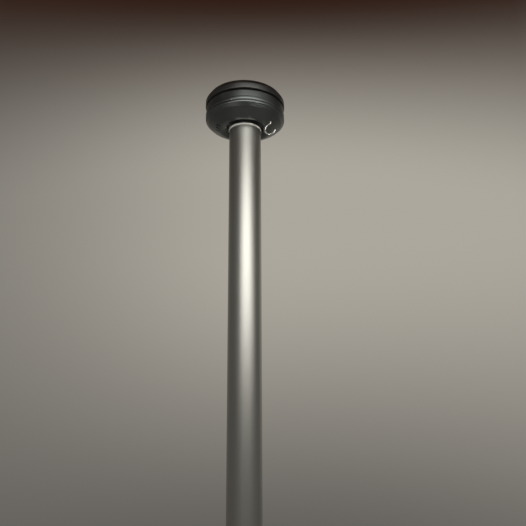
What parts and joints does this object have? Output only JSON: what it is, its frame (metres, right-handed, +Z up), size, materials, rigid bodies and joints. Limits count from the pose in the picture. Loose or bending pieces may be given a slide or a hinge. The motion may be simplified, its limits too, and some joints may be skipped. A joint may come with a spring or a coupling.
{
  "type": "flagpole",
  "caption": "Sectional tubular flagpole on a bolt-down base, with a freely revolving moulded head and an open wire hook under it.",
  "frame": {"origin": "centre of the base plate's underside, on the pole's axis", "axes": "+Z up along the pole; +X and +Y along the sides of the base plate; the hook hangs on the +X, -Y side"},
  "size_m": [0.22, 0.22, 4.0816],
  "materials": {
    "galvanised_steel": "hot-dip galvanised, faint spangle",
    "stainless_screw": "bright stainless",
    "stainless_wire": "polished stainless wire",
    "anodised_aluminium": "satin natural anodised, fine lengthwise grain",
    "turned_aluminium": "bright turned",
    "grey_plastic": "moulded",
    "bearing_plastic": "natural acetal",
    "collar_plastic": "fine moulded grain, dark grey",
    "lid_plastic": "fine moulded grain, dark grey"
  },
  "bodies": {
    "mast": {"base_plate": "galvanised_steel", "base_sleeve": "galvanised_steel", "centring_ring": "grey_plastic", "base_gusset_1": "galvanised_steel", "base_gusset_2": "galvanised_steel", "base_gusset_3": "galvanised_steel", "base_gusset_4": "galvanised_steel", "clamp_nut_1": "galvanised_steel", "clamp_screw_1": "stainless_screw", "clamp_nut_2": "galvanised_steel", "clamp_screw_2": "stainless_screw", "clamp_nut_3": "galvanised_steel", "clamp_screw_3": "stainless_screw", "lower_tube": "anodised_aluminium", "joint_ring": "grey_plastic", "joint_coupler": "anodised_aluminium", "upper_tube": "anodised_aluminium", "top_plug": "turned_aluminium", "head_spindle": "stainless_screw", "lower_washer": "bearing_plastic", "upper_washer": "bearing_plastic", "head_lid": "lid_plastic", "lid_screw": "stainless_screw"},
    "revolving_head": {"head_collar": "collar_plastic", "flag_hook": "stainless_wire"}
  },
  "joints": [
    {"name": "head_turn", "type": "hinge", "parent": "mast", "child": "revolving_head", "pos_m": [0, 0, 4.0406], "axis": [0, 0, 1], "continuous": true}
  ]
}
